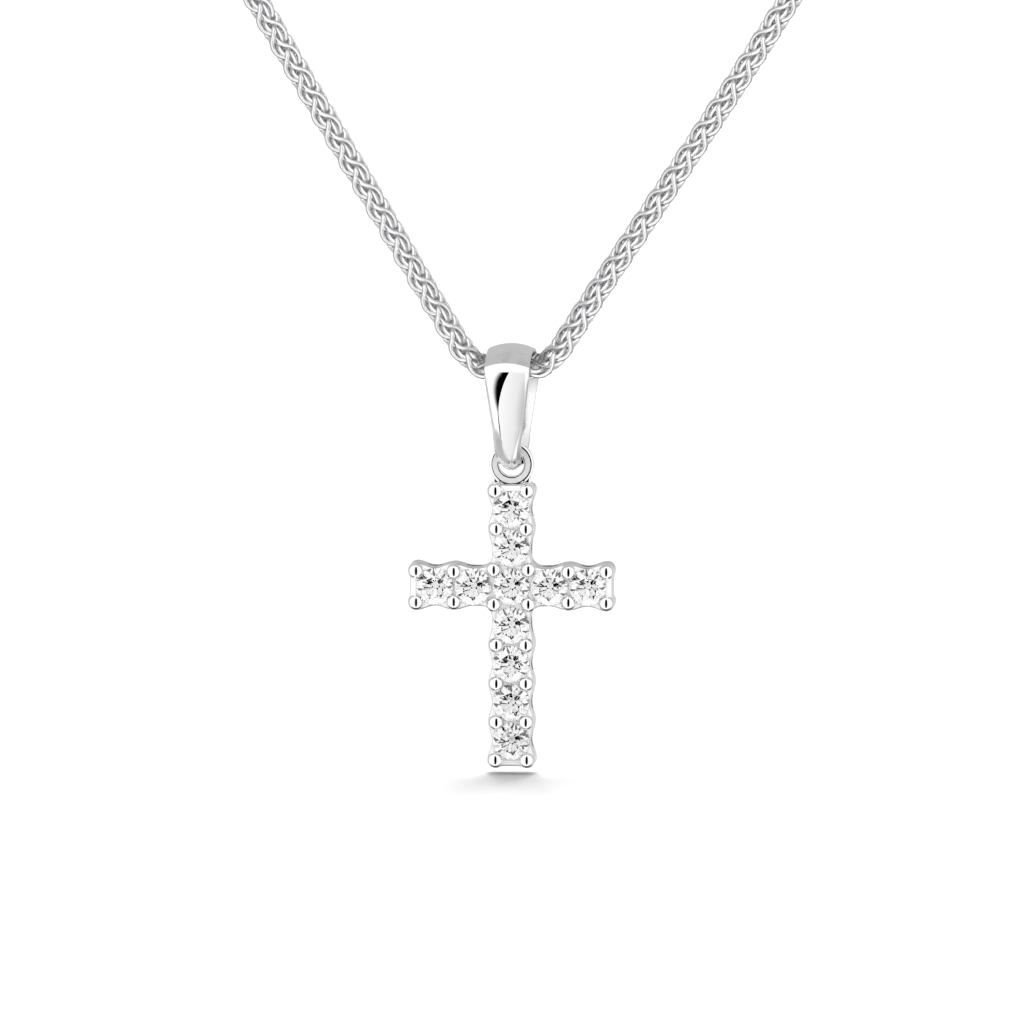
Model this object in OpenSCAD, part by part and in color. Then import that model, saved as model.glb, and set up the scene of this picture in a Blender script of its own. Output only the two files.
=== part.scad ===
// A small cross pendant of polished white metal on a wheat chain, shown as it hangs when worn.
// Eleven round brilliants sit in shared prongs, and a teardrop bail joins the cross to the chain.
// The origin is the middle of the clasp, at the nape. X is to the right, Z is up, and the cross
// faces the front, -Y. All sizes are in millimetres.

/* [Stones] */
// Diameter of a round stone across its girdle
stone_d = 1.95; // [1.7:0.05:2.2]
// Width of the table across its corners
table_d = 1.1; // [0.9:0.05:1.25]
// Height of the crown above the girdle
crown_h = 0.3; // [0.2:0.02:0.36]
// Thickness of the girdle
girdle_h = 0.06; // [0.03:0.01:0.1]
// Depth of the pavilion below the girdle
pavilion_h = 0.84; // [0.7:0.02:0.95]

/* [Setting] */
// Gap between the girdles of neighbours in the upright
upright_gap = 0.08; // [0.04:0.01:0.14]
// Gap between the girdles of neighbours in the arms
arm_gap = 0.05; // [0.04:0.01:0.14]
// Clearance between a stone and its seat
seat_gap = 0.02; // [0.01:0.005:0.04]
// Diameter of a prong's post
prong_d = 0.66; // [0.5:0.02:0.76]
// Depth that a stone's edge is let into a prong
prong_bite = 0.03; // [0.01:0.01:0.06]
// Diameter of the round bead on top of a prong
bead_d = 0.78; // [0.68:0.02:0.86]
// Angle of an end prong off the line of stones
end_prong_angle = 40; // [34:1:46]
// Diameter of the gallery's swelling round a prong
foot_d = 0.9; // [0.8:0.02:1]
// Rim of the gallery beyond the stones' edges
rim = 0.05; // [0.03:0.01:0.1]
// Lip of the gallery beyond the end prongs
end_lip = 0.34; // [0.25:0.01:0.42]
// Radius of the hollow corners where the arms meet the upright
corner_r = 0.6; // [0.4:0.05:0.8]
// Depth of the gallery from its front face to its back
gallery_depth = 1.4; // [1.2:0.05:1.7]
// Diameter of the round windows in the gallery's sides
window_d = 0.84; // [0.6:0.02:0.9]
// Thickness of the rail behind the windows
rail_t = 0.2; // [0.15:0.01:0.25]
// Diameter of the light hole behind each stone
azure_d = 1; // [0.7:0.05:1.2]

/* [Eyelet] */
// Outer diameter of the eyelet
eyelet_d = 2.35; // [2.1:0.05:2.6]
// Diameter of the eyelet's hole
eyelet_hole_d = 1.27; // [1.2:0.01:1.4]
// Thickness of the eyelet
eyelet_t = 0.7; // [0.5:0.02:0.76]
// Bevel along the eyelet's rims
eyelet_bevel = 0.12; // [0.06:0.01:0.16]
// Depth that the eyelet is let into the top of the gallery
eyelet_sink = 0.14; // [0.05:0.01:0.25]
// Width of the solder under the eyelet
neck_w = 2; // [1.6:0.05:2.1]
// Thickness of the solder under the eyelet
neck_t = 0.5; // [0.4:0.02:0.6]
// Distance from the stones' girdles back to the middle of the eyelet
eyelet_setback = 0.62; // [0.5:0.02:0.8]
// Clearance between the eyelet and the foot of the bail
eyelet_gap = 0.05; // [0.03:0.01:0.08]

/* [Bail] */
// Height of the bail
bail_h = 6.7; // [6.2:0.1:8]
// Width of the bail at its top
bail_w = 2.4; // [2.1:0.05:2.6]
// Width of the bail at its foot
foot_w = 0.84; // [0.7:0.02:0.86]
// Radius inside the top of the bail
bail_top_r = 1.25; // [1.22:0.01:1.4]
// Radius inside the foot of the bail
bail_foot_r = 0.9; // [0.86:0.02:1.1]
// Thickness of the bail along the middle of its wall
bail_wall = 0.42; // [0.32:0.02:0.5]
// Thickness of the bail along its edges
bail_edge = 0.15; // [0.1:0.01:0.2]
// Thickness of the bail where it passes through the eyelet
bail_foot_t = 0.95; // [0.8:0.01:0.97]
// Turn of the bail about the upright line as it hangs
bail_turn = 7.5; // [0:0.5:8]

/* [Chain and clasp] */
// Thickness of the wheat chain
chain_d = 1.5; // [1.3:0.02:1.5]
// Clearance between the chain and the top of the bail
hang_gap = 0.2; // [0.18:0.01:0.26]
// Length of the clasp
clasp_len = 10; // [8:0.5:12]
// Diameter of the clasp at its middle
clasp_d = 3; // [2.8:0.1:4]
// Diameter of the clasp at its ends
clasp_end_d = 2.4; // [2.2:0.1:2.6]
// Clearance round the chain's ends inside the clasp
socket_gap = 0.1; // [0.05:0.01:0.15]
// Depth of the sockets in the clasp's ends
socket_depth = 1.2; // [0.8:0.1:1.6]
// Width of the seam round the middle of the clasp
seam_w = 0.2; // [0.1:0.05:0.3]
// Depth of the seam round the middle of the clasp
seam_depth = 0.12; // [0.06:0.02:0.2]

/* [Hidden] */
// Where the chain's middle line hangs lowest, under the bail's top
hang = [0, -118, -108];
// The chain's middle line from the left of the clasp round the neck, measured from that point
ROUTE = [
    [-6, 118, 108], [-21, 114, 107.9], [-35.5, 105.6, 106.9], [-47.5, 93.2, 104],
    [-55.6, 78, 100], [-58.6, 61, 94.3], [-57, 44, 86.3], [-52, 29.3, 76], [-44.5, 18, 64.5],
    [-35.5, 10, 52], [-26, 4.7, 38.8], [-17.5, 1.6, 26], [-10.9, 0.3, 15], [-6.75, 0, 8],
    [-4.1, 0, 3.5], [-3.1, 0, 1.85], [-2.7, 0, 1.2], [-2.2, 0, 0.6], [-1.5, 0, 0.14],
    [-0.7, 0, 0], [0.55, 0, 0],
    [1.35, 0, 0.14], [2.05, 0, 0.54], [2.5, 0, 1.05], [3.1, 0, 1.95], [4.1, 0, 3.5], [7.1, 0, 8],
    [11.7, 0.3, 15], [18.6, 1.6, 26], [27, 4.7, 38.8], [36, 10, 52], [44.8, 18, 64.5],
    [52, 29.3, 76], [57, 44, 86.3], [58.6, 61, 94.3], [55.6, 78, 100], [47.5, 93.2, 104],
    [35.5, 105.6, 106.9], [21, 114, 107.9], [6, 118, 108]
];
// Sides of the chain's tube, and rings in each stretch between two points of its route
chain_sides = 8;
chain_steps = 2;
// How far beyond its last seat the overlap of joined shapes reaches
lap = 0.2;
$fn = 48;

stones_above = 2;
stones_below = 4;
stones_aside = 2;
upright_pitch = stone_d + upright_gap;
arm_pitch = stone_d + arm_gap;

// Every stone: its name, its place from the centre stone, and its turn about its own axis
STONES = concat(
    [["stone_centre", [0, 0], 9]],
    [for (i = [1:stones_above]) [str("stone_above_", i), [0, i * upright_pitch], 17 * i]],
    [for (i = [1:stones_below]) [str("stone_below_", i), [0, -i * upright_pitch], 5 + 13 * i]],
    [for (i = [1:stones_aside]) [str("stone_left_", i), [-i * arm_pitch, 0], 20 * i]],
    [for (i = [1:stones_aside]) [str("stone_right_", i), [i * arm_pitch, 0], 3 + 19 * i]]
);

// Depths along Y from the middle of the eyelet, the front being negative
girdle_y = -eyelet_setback;
gallery_front_y = girdle_y + 2 * girdle_h;
gallery_back_y = gallery_front_y + gallery_depth;
window_y = gallery_back_y - rail_t - window_d / 2;

// A prong stands against a stone's edge at this distance from the stone's axis
prong_reach = stone_d / 2 + prong_d / 2 - prong_bite;
upright_side = sqrt(pow(prong_reach, 2) - pow(upright_pitch / 2, 2));
arm_side = sqrt(pow(prong_reach, 2) - pow(arm_pitch / 2, 2));
corner_side = prong_reach * cos(45);
end_step = prong_reach * cos(end_prong_angle);
end_side = prong_reach * sin(end_prong_angle);
band = stone_d / 2 + rim;
top_end = stones_above * upright_pitch + end_step;
bottom_end = stones_below * upright_pitch + end_step;
arm_end = stones_aside * arm_pitch + end_step;

// The middles of the prong rows between neighbours, away from the centre stone
UPRIGHT_ROWS = concat(
    [for (i = [1:stones_above - 1]) (i + 0.5) * upright_pitch],
    [for (i = [1:stones_below - 1]) -(i + 0.5) * upright_pitch]
);
ARM_ROWS = [for (i = [1:stones_aside - 1], s = [-1, 1]) s * (i + 0.5) * arm_pitch];
PRONGS = concat(
    [for (x = [-1, 1], z = [-1, 1]) [x, z] * corner_side],
    [for (z = UPRIGHT_ROWS, s = [-1, 1]) [s * upright_side, z]],
    [for (x = ARM_ROWS, s = [-1, 1]) [x, s * arm_side]],
    [for (z = [-bottom_end, top_end], s = [-1, 1]) [s * end_side, z]],
    [for (x = [-arm_end, arm_end], s = [-1, 1]) [x, s * end_side]]
);

// Heights, worked down from the chain: the bail's pivot, its foot, the eyelet and the cross
pivot_z = -(bail_top_r - chain_d / 2 - hang_gap);
leg_h = bail_h - bail_wall - bail_top_r - bail_foot_r - bail_foot_t;
foot_z = pivot_z - leg_h - bail_foot_r;
eyelet_z = foot_z + eyelet_gap - eyelet_hole_d / 2;
cross_z = eyelet_z - eyelet_d / 2 + eyelet_sink - end_lip - top_end;

// Points of a smooth curve through the route, the ends standing straight in the clasp's sockets
chain_end_x = clasp_len / 2 - socket_depth + socket_gap;
LINE = concat(
    [[-chain_end_x, -hang[1], -hang[2]]], ROUTE, [[chain_end_x, -hang[1], -hang[2]]]
);
last = len(LINE) - 1;
function before(i) = i > 0 ? LINE[i - 1] : 2 * LINE[0] - LINE[1];
function after(i) = i < last ? LINE[i + 1] : 2 * LINE[last] - LINE[last - 1];
function slope(i) =
    let (a = LINE[i] - before(i), b = after(i) - LINE[i], u = norm(a), v = norm(b))
    (a * v / u + b * u / v) / (u + v);
function along(i, t) =
    let (span = norm(LINE[i + 1] - LINE[i]))
    (2 * t * t * t - 3 * t * t + 1) * LINE[i] + (t * t * t - 2 * t * t + t) * span * slope(i)
    + (3 * t * t - 2 * t * t * t) * LINE[i + 1] + (t * t * t - t * t) * span * slope(i + 1);
CURVE = concat(
    [for (i = [0:last - 1], k = [0:chain_steps - 1]) along(i, k / chain_steps)], [LINE[last]]
);
// The direction in which the neck lies, from which each ring of the tube is squared up
inward = [0, -0.6, 0.8];
function unit(v) = v / norm(v);
function heading(i) = unit(CURVE[min(i + 1, len(CURVE) - 1)] - CURVE[max(i - 1, 0)]);
function ring(i) =
    let (h = heading(i), side = unit(cross(h, inward)), up = cross(side, h))
    [for (k = [0:chain_sides - 1]) let (a = 360 * (k + 0.5) / chain_sides)
        CURVE[i] + chain_d / 2 * (cos(a) * side + sin(a) * up)];

// Stations round the bail: the way out from the middle line of its loop, and its inner line
lean = asin((bail_top_r - bail_foot_r) / leg_h);
top_steps = 22;
leg_steps = 7;
foot_steps = 12;
function arc_stations(r, z, from, to, n) =
    [for (i = [0:n - 1]) let (a = from + (to - from) * i / n)
        [[0, cos(a), sin(a)], [0, r * cos(a), z + r * sin(a)]]];
function leg_stations(a, z0, r0, z1, r1) =
    [for (i = [0:leg_steps - 1]) let (t = i / leg_steps, out = [0, cos(a), sin(a)])
        [out, (1 - t) * ([0, 0, z0] + r0 * out) + t * ([0, 0, z1] + r1 * out)]];
STATIONS = concat(
    arc_stations(bail_top_r, 0, -lean, 180 + lean, top_steps),
    leg_stations(180 + lean, 0, bail_top_r, -leg_h, bail_foot_r),
    arc_stations(bail_foot_r, -leg_h, 180 + lean, 360 - lean, foot_steps),
    leg_stations(360 - lean, -leg_h, bail_foot_r, 0, bail_top_r)
);
// The wall is narrow and thick at the foot, and wide, thin and domed at the top
bail_low = -leg_h - bail_foot_r - bail_foot_t;
foot_curl = bail_foot_t / 2 - bail_edge / 2;
leaf_power = 0.85;
swell_h = 1.6;
function share(z) = max(0, min(1, (z - bail_low) / -bail_low));
function half_width(z) = (foot_w + (bail_w - foot_w) * pow(share(z), leaf_power)) / 2;
function footing(z) =
    let (t = max(0, min(1, 1 - (z - bail_low - bail_foot_t) / swell_h))) t * t * (3 - 2 * t);
// Across the wall: the dome outside, the flat or curled face inside, and the depth of the trim
dome_steps = 8;
inner_steps = 4;
trim = 0.05;
function wall_section(z) =
    let (
        f = footing(z),
        thick = bail_wall + (bail_foot_t - bail_wall) * f,
        curl = foot_curl * f
    )
    concat(
        [for (i = [0:dome_steps]) let (u = 2 * i / dome_steps - 1)
            [u, thick - (thick - curl - bail_edge) * u * u]],
        [for (i = [0:inner_steps]) let (u = 1 - 2 * i / inner_steps) [u, curl * u * u - trim]]
    );
function bail_ring(s) =
    let (z = s[1][2])
    [for (p = wall_section(z)) [p[0] * half_width(z), 0, 0] + s[1] + p[1] * s[0]];

// Two triangles for each cell of a grid of rings, with the rings joined end to end or capped
function strip(rings, sides, closed) =
    [for (i = [0:rings - (closed ? 1 : 2)], k = [0:sides - 1], half = [0, 1])
        let (
            a = i * sides + k,
            b = i * sides + (k + 1) % sides,
            c = ((i + 1) % rings) * sides + (k + 1) % sides,
            d = ((i + 1) % rings) * sides + k
        )
        half == 0 ? [a, b, c] : [a, c, d]];

// The chain as a plain tube from socket to socket
module chain() {
    rings = len(CURVE);
    color("gainsboro")
        translate(hang)
            polyhedron(
                points = [for (i = [0:rings - 1]) each ring(i)],
                faces = concat(
                    strip(rings, chain_sides, false),
                    [[for (k = [chain_sides - 1:-1:0]) k]],
                    [[for (k = [0:chain_sides - 1]) (rings - 1) * chain_sides + k]]
                ),
                convexity = 10
            );
}

// The barrel clasp, with a socket for each end of the chain
module clasp() {
    belly_r = (pow(clasp_len / 2, 2) + pow((clasp_d - clasp_end_d) / 2, 2)) / (clasp_d - clasp_end_d);
    color("silver")
        rotate([0, 90, 0])
            difference() {
                rotate_extrude()
                    intersection() {
                        translate([0, -clasp_len / 2])
                            square([clasp_d, clasp_len]);
                        translate([clasp_d / 2 - belly_r, 0])
                            circle(r = belly_r, $fn = 200);
                    }
                for (s = [-1, 1])
                    translate([0, 0, s * clasp_len / 2])
                        cylinder(d = chain_d + 2 * socket_gap, h = 2 * socket_depth, center = true);
                difference() {
                    cylinder(d = clasp_d + 1, h = seam_w, center = true);
                    cylinder(d = clasp_d - 2 * seam_depth, h = 2 * seam_w, center = true);
                }
            }
}

// The room inside the bail, round at the top where it rides on the chain and round at the foot
module bail_room() {
    // The flat sides start a little inside the round ends
    slip = 4;
    function edge(r, z, a) = [r * cos(a), z + r * sin(a)];
    rotate([90, 0, 90])
        linear_extrude(height = 2 * bail_w, center = true) {
            circle(r = bail_top_r);
            translate([0, -leg_h])
                circle(r = bail_foot_r);
            polygon([
                edge(bail_top_r, 0, -lean + slip), edge(bail_top_r, 0, 180 + lean - slip),
                edge(bail_foot_r, -leg_h, 180 + lean + slip), edge(bail_foot_r, -leg_h, -lean - slip)
            ]);
        }
}

// The teardrop bail, turned a little as it hangs
module bail() {
    rings = len(STATIONS);
    sides = dome_steps + inner_steps + 2;
    color("silver")
        translate(hang + [0, 0, pivot_z])
            rotate([0, 0, -bail_turn])
                difference() {
                    polyhedron(
                        points = [for (s = STATIONS) each bail_ring(s)],
                        faces = strip(rings, sides, true),
                        convexity = 10
                    );
                    bail_room();
                }
}

// Where the cross is: a plane drawn in X and Z, pushed out along Y between two depths
module cut_from_front(front, back) {
    translate([0, back, 0])
        rotate([90, 0, 0])
            linear_extrude(height = back - front)
                children();
}

// The gallery's outline, swelling at the prongs and drawn in beside the stones
module gallery_outline() {
    translate([-band, -bottom_end - end_lip])
        square([2 * band, bottom_end + top_end + 2 * end_lip]);
    translate([-arm_end - end_lip, -band])
        square([2 * (arm_end + end_lip), 2 * band]);
    for (z = UPRIGHT_ROWS)
        translate([0, z])
            circle(r = upright_side + foot_d / 2);
    for (x = ARM_ROWS)
        translate([x, 0])
            circle(r = arm_side + foot_d / 2);
    for (z = [-bottom_end, top_end], s = [-1, 1])
        translate([s * end_side, z])
            circle(d = foot_d);
    for (x = [-arm_end, arm_end], s = [-1, 1])
        translate([x, s * end_side])
            circle(d = foot_d);
    // The hollow corners run a little way into the upright and the arms
    run_in = 0.02;
    for (x = [-1, 1], z = [-1, 1])
        scale([x, z])
            translate([band - run_in, band - run_in])
                difference() {
                    translate([-lap, -lap])
                        square(corner_r + lap);
                    translate([corner_r, corner_r])
                        circle(r = corner_r);
                }
}

// The room that one stone takes in the metal, with its clearance
module stone_room() {
    r = stone_d / 2 + seat_gap;
    rotate([90, 0, 0])
        rotate_extrude()
            polygon([
                [0, -girdle_h - pavilion_h - seat_gap], [r, -girdle_h - seat_gap / 2],
                [r, seat_gap / 2], [table_d / 2 + seat_gap, crown_h + seat_gap],
                [0, crown_h + seat_gap]
            ]);
}

// The eyelet, a flat ring with bevelled rims, and the solder that joins it to the gallery
module eyelet() {
    out = eyelet_d / 2;
    in = eyelet_hole_d / 2;
    t = eyelet_t / 2;
    b = eyelet_bevel;
    translate([0, 0, eyelet_z - cross_z])
        rotate([90, 0, 0])
            rotate_extrude()
                polygon([
                    [in, b - t], [in + b, -t], [out - b, -t], [out, b - t],
                    [out, t - b], [out - b, t], [in + b, t], [in, t - b]
                ]);
    difference() {
        translate([-neck_w / 2, -neck_t / 2, top_end + end_lip - lap])
            cube([neck_w, neck_t, eyelet_d / 2 - eyelet_sink + lap]);
        translate([0, 0, eyelet_z - cross_z])
            rotate([90, 0, 0])
                cylinder(d = eyelet_hole_d + eyelet_bevel, h = 2 * eyelet_t, center = true);
    }
}

// The cast cross: gallery, prongs and eyelet in one, with a seat and a light hole for each stone
module cross_setting() {
    color("silver")
        translate(hang + [0, 0, cross_z]) {
            difference() {
                union() {
                    cut_from_front(gallery_front_y, gallery_back_y)
                        gallery_outline();
                    eyelet();
                }
                for (s = STONES)
                    translate([s[1][0], 0, s[1][1]]) {
                        translate([0, girdle_y, 0])
                            stone_room();
                        translate([0, gallery_back_y, 0])
                            rotate([90, 0, 0])
                                cylinder(d = azure_d, h = gallery_depth / 2, center = true);
                        if (s[0] != "stone_centre")
                            translate([0, window_y, 0])
                                rotate([0, s[1][0] == 0 ? 90 : 0, 0])
                                    cylinder(d = window_d, h = 2 * foot_d + stone_d, center = true);
                    }
            }
            for (p = PRONGS)
                prong(p);
        }
}

// One prong, turned in one piece: a bead that stands on the gallery and a post let into it. It is
// notched for the edge of each stone that it holds, and its seam faces away from them
module prong(place) {
    held = [for (s = STONES) if (norm(place - s[1]) < prong_reach + prong_bite) s[1]];
    away = [for (at = held) 1] * [for (at = held) place - at];
    base = girdle_y - gallery_front_y;
    difference() {
        translate([place[0], girdle_y, place[1]])
            rotate([90, -atan2(away[1], away[0]), 0])
                rotate_extrude() {
                    intersection() {
                        circle(d = bead_d);
                        translate([0, base])
                            square(bead_d);
                    }
                    translate([0, base - lap])
                        square([prong_d / 2, lap - base]);
                }
        for (at = held)
            translate([at[0], girdle_y, at[1]])
                stone_room();
    }
}

// One round brilliant: table, 8 stars, 8 kites, 16 upper halves, girdle, 16 lower halves, 8 mains
module stone(place, turn) {
    r = stone_d / 2;
    t = table_d / 2;
    step = 22.5;
    // The points of the stars and of the lower halves lie in the planes of the kites and mains
    star_r = (t * cos(step) + r) / 2;
    star_z = crown_h * (r - star_r * cos(step)) / (r - t);
    lower_r = 0.24 * r;
    lower_z = -girdle_h - pavilion_h * (1 - lower_r * cos(step) / r);
    function around(radius, z, n, first) =
        [for (k = [0:n - 1]) let (a = first + 360 * k / n) [radius * cos(a), radius * sin(a), z]];
    points = concat(
        around(t, crown_h, 8, 0),
        around(star_r, star_z, 8, step),
        around(r, 0, 16, 0),
        around(r, -girdle_h, 16, 0),
        around(lower_r, lower_z, 8, step),
        [[0, 0, -girdle_h - pavilion_h]]
    );
    function table_at(k) = k % 8;
    function star_at(k) = 8 + (k + 8) % 8;
    function upper_at(k) = 16 + k % 16;
    function under_at(k) = 32 + k % 16;
    function lower_at(k) = 48 + (k + 8) % 8;
    culet = 56;
    faces = concat(
        [[for (k = [7:-1:0]) table_at(k)]],
        [for (k = [0:7]) [table_at(k), table_at(k + 1), star_at(k)]],
        [for (k = [0:7]) [table_at(k), star_at(k), upper_at(2 * k), star_at(k - 1)]],
        [for (k = [0:7]) [star_at(k), upper_at(2 * k + 1), upper_at(2 * k)]],
        [for (k = [0:7]) [star_at(k), upper_at(2 * k + 2), upper_at(2 * k + 1)]],
        [for (k = [0:15]) [upper_at(k), upper_at(k + 1), under_at(k + 1), under_at(k)]],
        [for (k = [0:7]) [lower_at(k), under_at(2 * k), under_at(2 * k + 1)]],
        [for (k = [0:7]) [lower_at(k), under_at(2 * k + 1), under_at(2 * k + 2)]],
        [for (k = [0:7]) [culet, lower_at(k - 1), under_at(2 * k), lower_at(k)]]
    );
    color("white")
        translate(hang + [place[0], girdle_y, cross_z + place[1]])
            rotate([90, turn, 0])
                polyhedron(points = points, faces = faces, convexity = 2);
}

chain();
clasp();
bail();
cross_setting();
for (s = STONES)
    stone(s[1], s[2]);
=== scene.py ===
from math import asin, atan2, cos, pi, radians, sin, sqrt, tan

import bmesh
import bpy
import numpy as np
from mathutils import Matrix, Vector


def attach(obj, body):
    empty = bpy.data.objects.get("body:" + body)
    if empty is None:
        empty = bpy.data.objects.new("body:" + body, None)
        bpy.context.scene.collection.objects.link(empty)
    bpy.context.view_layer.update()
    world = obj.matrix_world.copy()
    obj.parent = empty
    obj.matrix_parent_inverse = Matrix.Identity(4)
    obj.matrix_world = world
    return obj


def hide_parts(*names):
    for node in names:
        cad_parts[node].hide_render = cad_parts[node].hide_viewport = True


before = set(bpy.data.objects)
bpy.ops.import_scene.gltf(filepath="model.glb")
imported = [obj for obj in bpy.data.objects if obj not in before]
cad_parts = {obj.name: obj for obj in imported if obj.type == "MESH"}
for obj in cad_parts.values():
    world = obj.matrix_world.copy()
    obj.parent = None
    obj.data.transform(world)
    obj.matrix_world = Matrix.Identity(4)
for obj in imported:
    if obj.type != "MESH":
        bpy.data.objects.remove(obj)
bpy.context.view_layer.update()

# The camera stands a little to the right of the cross and a little above it, far off with a long
# lens, as for a catalogue picture of a pendant. The picture is square.
mm = 0.001
seen_width = 53.47 * mm
camera_distance = 620 * mm
camera_azimuth = radians(4)
camera_elevation = radians(5.5)
looked_at = Vector((0.05 * mm, -118.6 * mm, -115.44 * mm))

towards_camera = Vector((
    sin(camera_azimuth) * cos(camera_elevation),
    -cos(camera_azimuth) * cos(camera_elevation),
    sin(camera_elevation),
))
camera = bpy.data.objects.new("camera", bpy.data.cameras.new("camera"))
bpy.context.scene.collection.objects.link(camera)
camera.location = looked_at + camera_distance * towards_camera
camera.rotation_euler = towards_camera.to_track_quat("Z", "Y").to_euler()
camera.data.sensor_width = 36
camera.data.lens = camera.data.sensor_width * camera_distance / seen_width
camera.data.clip_start = 10 * mm
camera.data.clip_end = 20
bpy.context.scene.camera = camera
bpy.context.scene.view_settings.view_transform = "Standard"


# The floor is a sheet of white paper that lies just under the cross and fills the picture behind
# it. The polished metal mirrors the white tent round it and not the floor.
def make_piece(name, points, faces, *finishes):
    """A smoothly shaded mesh object from points and faces."""
    mesh = bpy.data.meshes.new(name)
    whole_faces = [[int(corner) for corner in face] for face in faces]
    mesh.from_pydata(np.asarray(points).tolist(), [], whole_faces)
    mesh.polygons.foreach_set("use_smooth", [True] * len(mesh.polygons))
    for finish in finishes:
        mesh.materials.append(finish)
    piece = bpy.data.objects.new(name, mesh)
    bpy.context.scene.collection.objects.link(piece)
    return piece


def new_finish(name, colour, metallic, roughness):
    """A material and its surface shader. The helpers that add nodes then work in its node tree."""
    global tree
    finish = bpy.data.materials.new(name)
    finish.use_nodes = True
    tree = finish.node_tree
    shader = tree.nodes["Principled BSDF"]
    shader.inputs["Base Color"].default_value = (*colour, 1)
    shader.inputs["Metallic"].default_value = metallic
    shader.inputs["Roughness"].default_value = roughness
    return finish, shader


def fine_grain(scale, detail=2):
    """A fine noise over the object. Returns its level and the place on the object."""
    place = tree.nodes.new("ShaderNodeTexCoord").outputs["Object"]
    noise = tree.nodes.new("ShaderNodeTexNoise")
    noise.inputs["Scale"].default_value = scale
    noise.inputs["Detail"].default_value = detail
    tree.links.new(place, noise.inputs["Vector"])
    return noise.outputs["Fac"], place


floor_reach = 4
floor_z = -129.25 * mm
paper_grey = 0.47
fibre_contrast = 0.01
paper, shader = new_finish("white_paper", (paper_grey, paper_grey, paper_grey), 0, 0.9)
corners = [(x * floor_reach, y * floor_reach, floor_z) for x, y in ((-1, -1), (1, -1), (1, 1), (-1, 1))]
floor = make_piece("floor", corners, [(0, 1, 2, 3)], paper)
floor.visible_glossy = False
fibre_grey = tree.nodes.new("ShaderNodeMapRange")
fibre_grey.inputs["To Min"].default_value = paper_grey - fibre_contrast
fibre_grey.inputs["To Max"].default_value = paper_grey + fibre_contrast
tree.links.new(fine_grain(2000)[0], fibre_grey.inputs["Value"])
tree.links.new(fibre_grey.outputs[0], shader.inputs["Base Color"])

# The light is a white tent. Its front has a dark gap for the camera, its back is greyer and the
# ground behind it dark. The stones see a tent of their own, with a dark strip on each side of the
# camera. Two columns of soft lamps high behind throw the cross's pale shadow forward.
tent_white = 1.4
back_white = 0.7
under_white = 0.08
rear_white = 1.3
diffuse_white = 1.9
backdrop_white = 1.05
stone_white = 1.5
stone_under_white = 0.85
gap_left = radians(-15)
gap_right = radians(23)
gap_height = radians(62)
stone_gap = radians(21)
stone_gap_start = radians(7)
stone_gap_height = radians(50)
world = bpy.data.worlds.new("white_tent")
bpy.context.scene.world = world
world.use_nodes = True
tree = world.node_tree
tree.nodes.clear()


def math_node(operation, first, second=None):
    """A math node whose inputs are sockets or plain numbers. Returns its output."""
    step = tree.nodes.new("ShaderNodeMath")
    step.operation = operation
    for value, slot in ((first, step.inputs[0]), (second, step.inputs[1])):
        if hasattr(value, "is_output"):
            tree.links.new(value, slot)
        elif value is not None:
            slot.default_value = value
    return step.outputs[0]


def smooth_step(value, low, high, start=0, end=1):
    """A smooth change from start to end, as the value goes from low to high."""
    step = tree.nodes.new("ShaderNodeMapRange")
    step.interpolation_type = "SMOOTHSTEP"
    step.inputs["From Min"].default_value = low
    step.inputs["From Max"].default_value = high
    step.inputs["To Min"].default_value = start
    step.inputs["To Max"].default_value = end
    tree.links.new(value, step.inputs["Value"])
    return step.outputs[0]


direction = tree.nodes.new("ShaderNodeTexCoord")
parts = tree.nodes.new("ShaderNodeSeparateXYZ")
tree.links.new(direction.outputs["Generated"], parts.inputs[0])
azimuth = math_node("ARCTAN2", parts.outputs["X"], math_node("MULTIPLY", parts.outputs["Y"], -1))
elevation = math_node("ARCSINE", parts.outputs["Z"])
round_to_back = math_node("ABSOLUTE", azimuth)
up_or_down = math_node("ABSOLUTE", elevation)
behind = smooth_step(round_to_back, radians(90), radians(120))
beneath = math_node("MULTIPLY", smooth_step(elevation, radians(-50), radians(-30), 1, 0), behind)
left_of_gap = smooth_step(azimuth, gap_left - radians(5), gap_left + radians(5), 1, 0)
right_of_gap = smooth_step(azimuth, gap_right - radians(1), gap_right + radians(1))
past_gap = smooth_step(up_or_down, gap_height - radians(3), gap_height + radians(3))
white = math_node("MAXIMUM", math_node("MAXIMUM", left_of_gap, right_of_gap), past_gap)
off_camera = math_node("ABSOLUTE", math_node("SUBTRACT", azimuth, camera_azimuth))
beside_camera = math_node(
    "MAXIMUM", smooth_step(off_camera, stone_gap - radians(1), stone_gap + radians(1)),
    smooth_step(off_camera, stone_gap_start - radians(1), stone_gap_start + radians(1), 1, 0),
)
past_camera = smooth_step(up_or_down, stone_gap_height - radians(2), stone_gap_height + radians(2))


def between(share, first, second):
    """A level that goes from the first to the second as the share goes from 0 to 1."""
    step = tree.nodes.new("ShaderNodeMix")
    tree.links.new(share, step.inputs[0])
    for value, slot in ((first, step.inputs[2]), (second, step.inputs[3])):
        if hasattr(value, "is_output"):
            tree.links.new(value, slot)
        else:
            slot.default_value = value
    return step.outputs[0]


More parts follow.
